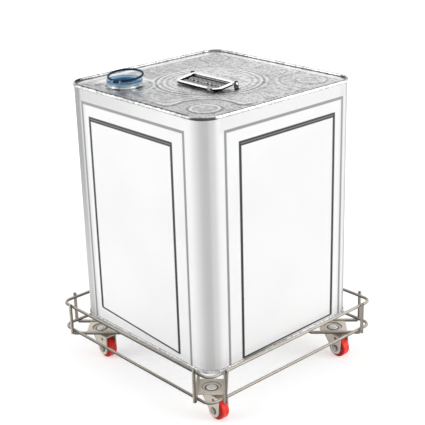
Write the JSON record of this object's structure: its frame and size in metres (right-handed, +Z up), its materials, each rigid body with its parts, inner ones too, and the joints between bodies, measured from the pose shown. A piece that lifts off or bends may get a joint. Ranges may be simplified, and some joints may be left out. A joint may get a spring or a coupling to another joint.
{
  "type": "square tin on castored trolley",
  "caption": "Square tinplate can with a folding lid handle and a capped spout, standing in a wire trolley on swivel castors.",
  "frame": {"origin": "on the floor under the middle of the trolley", "axes": "+Z up; +X and -Y are the two sides of the tin with printed panels, and the spout is at the corner towards -X and -Y"},
  "size_m": [0.285, 0.285, 0.3702],
  "materials": {
    "white_tinplate": "satin",
    "bright_tinplate": "satin",
    "handle_steel": "polished",
    "trolley_wire": "satin",
    "castor_steel": "satin",
    "ball_steel": "polished",
    "bolt_steel": "polished",
    "hub_plastic": "matte",
    "red_tyre": "satin",
    "blue_plastic": "glossy",
    "dark_blue_plastic": "glossy"
  },
  "bodies": {
    "trolley": {"upper_ring": "trolley_wire", "lower_ring": "trolley_wire", "uprights": "trolley_wire", "rest_wires_upper": "trolley_wire", "rest_wires_lower": "trolley_wire", "plate_front_right": "castor_steel", "plate_back_right": "castor_steel", "plate_back_left": "castor_steel", "plate_front_left": "castor_steel", "kingpin_front_right": "castor_steel", "kingpin_back_right": "castor_steel", "kingpin_back_left": "castor_steel", "kingpin_front_left": "castor_steel", "balls_front_right": "ball_steel", "balls_back_right": "ball_steel", "balls_back_left": "ball_steel", "balls_front_left": "ball_steel"},
    "castor_front_right": {"fork_front_right": "castor_steel", "bolt_front_right": "bolt_steel", "nut_front_right": "bolt_steel"},
    "wheel_front_right": {"hub_front_right": "hub_plastic", "tyre_front_right": "red_tyre"},
    "castor_back_right": {"fork_back_right": "castor_steel", "bolt_back_right": "bolt_steel", "nut_back_right": "bolt_steel"},
    "wheel_back_right": {"hub_back_right": "hub_plastic", "tyre_back_right": "red_tyre"},
    "castor_back_left": {"fork_back_left": "castor_steel", "bolt_back_left": "bolt_steel", "nut_back_left": "bolt_steel"},
    "wheel_back_left": {"hub_back_left": "hub_plastic", "tyre_back_left": "red_tyre"},
    "castor_front_left": {"fork_front_left": "castor_steel", "bolt_front_left": "bolt_steel", "nut_front_left": "bolt_steel"},
    "wheel_front_left": {"hub_front_left": "hub_plastic", "tyre_front_left": "red_tyre"},
    "tin": {"tin_body": "white_tinplate", "side_seam": "white_tinplate", "top_seam": "bright_tinplate", "bottom_seam": "bright_tinplate", "lid_panel": "bright_tinplate", "bottom_panel": "bright_tinplate", "spout_neck": "bright_tinplate", "handle_ears": "bright_tinplate"},
    "handle": {"handle_strap": "handle_steel", "lift_tab": "handle_steel"},
    "spout_cap": {"cap": "blue_plastic", "ring_pin": "dark_blue_plastic"},
    "ring": {"pull_ring": "dark_blue_plastic"}
  },
  "joints": [
    {"name": "swivel_front_right", "type": "hinge", "parent": "trolley", "child": "castor_front_right", "pos_m": [0.104, -0.104, 0.03], "axis": [0, 0, 1], "continuous": true},
    {"name": "roll_front_right", "type": "hinge", "parent": "castor_front_right", "child": "wheel_front_right", "pos_m": [0.115, -0.104, 0.0125], "axis": [0, 1, 0], "continuous": true},
    {"name": "swivel_back_right", "type": "hinge", "parent": "trolley", "child": "castor_back_right", "pos_m": [0.104, 0.104, 0.03], "axis": [0, 0, 1], "continuous": true},
    {"name": "roll_back_right", "type": "hinge", "parent": "castor_back_right", "child": "wheel_back_right", "pos_m": [0.115, 0.104, 0.0125], "axis": [0, 1, 0], "continuous": true},
    {"name": "swivel_back_left", "type": "hinge", "parent": "trolley", "child": "castor_back_left", "pos_m": [-0.104, 0.104, 0.03], "axis": [0, 0, 1], "continuous": true},
    {"name": "roll_back_left", "type": "hinge", "parent": "castor_back_left", "child": "wheel_back_left", "pos_m": [-0.093, 0.104, 0.0125], "axis": [0, 1, 0], "continuous": true},
    {"name": "swivel_front_left", "type": "hinge", "parent": "trolley", "child": "castor_front_left", "pos_m": [-0.104, -0.104, 0.03], "axis": [0, 0, 1], "continuous": true},
    {"name": "roll_front_left", "type": "hinge", "parent": "castor_front_left", "child": "wheel_front_left", "pos_m": [-0.093, -0.104, 0.0125], "axis": [0, 1, 0], "continuous": true},
    {"name": "tin_lifts_out", "type": "slide", "parent": "trolley", "child": "tin", "axis": [0, 0, 1], "range_m": [0, 0.1]},
    {"name": "handle_folds", "type": "hinge", "parent": "tin", "child": "handle", "pos_m": [0.012, -0.0045, 0.3618], "axis": [-1, 0, 0], "range_deg": [0, 180]},
    {"name": "cap_pulls_off", "type": "slide", "parent": "tin", "child": "spout_cap", "axis": [0, 0, 1], "range_m": [0, 0.03]},
    {"name": "ring_folds", "type": "hinge", "parent": "spout_cap", "child": "ring", "pos_m": [-0.05063, -0.09694, 0.3644], "axis": [0.9063, 0.4226, 0], "range_deg": [0, 110]}
  ]
}
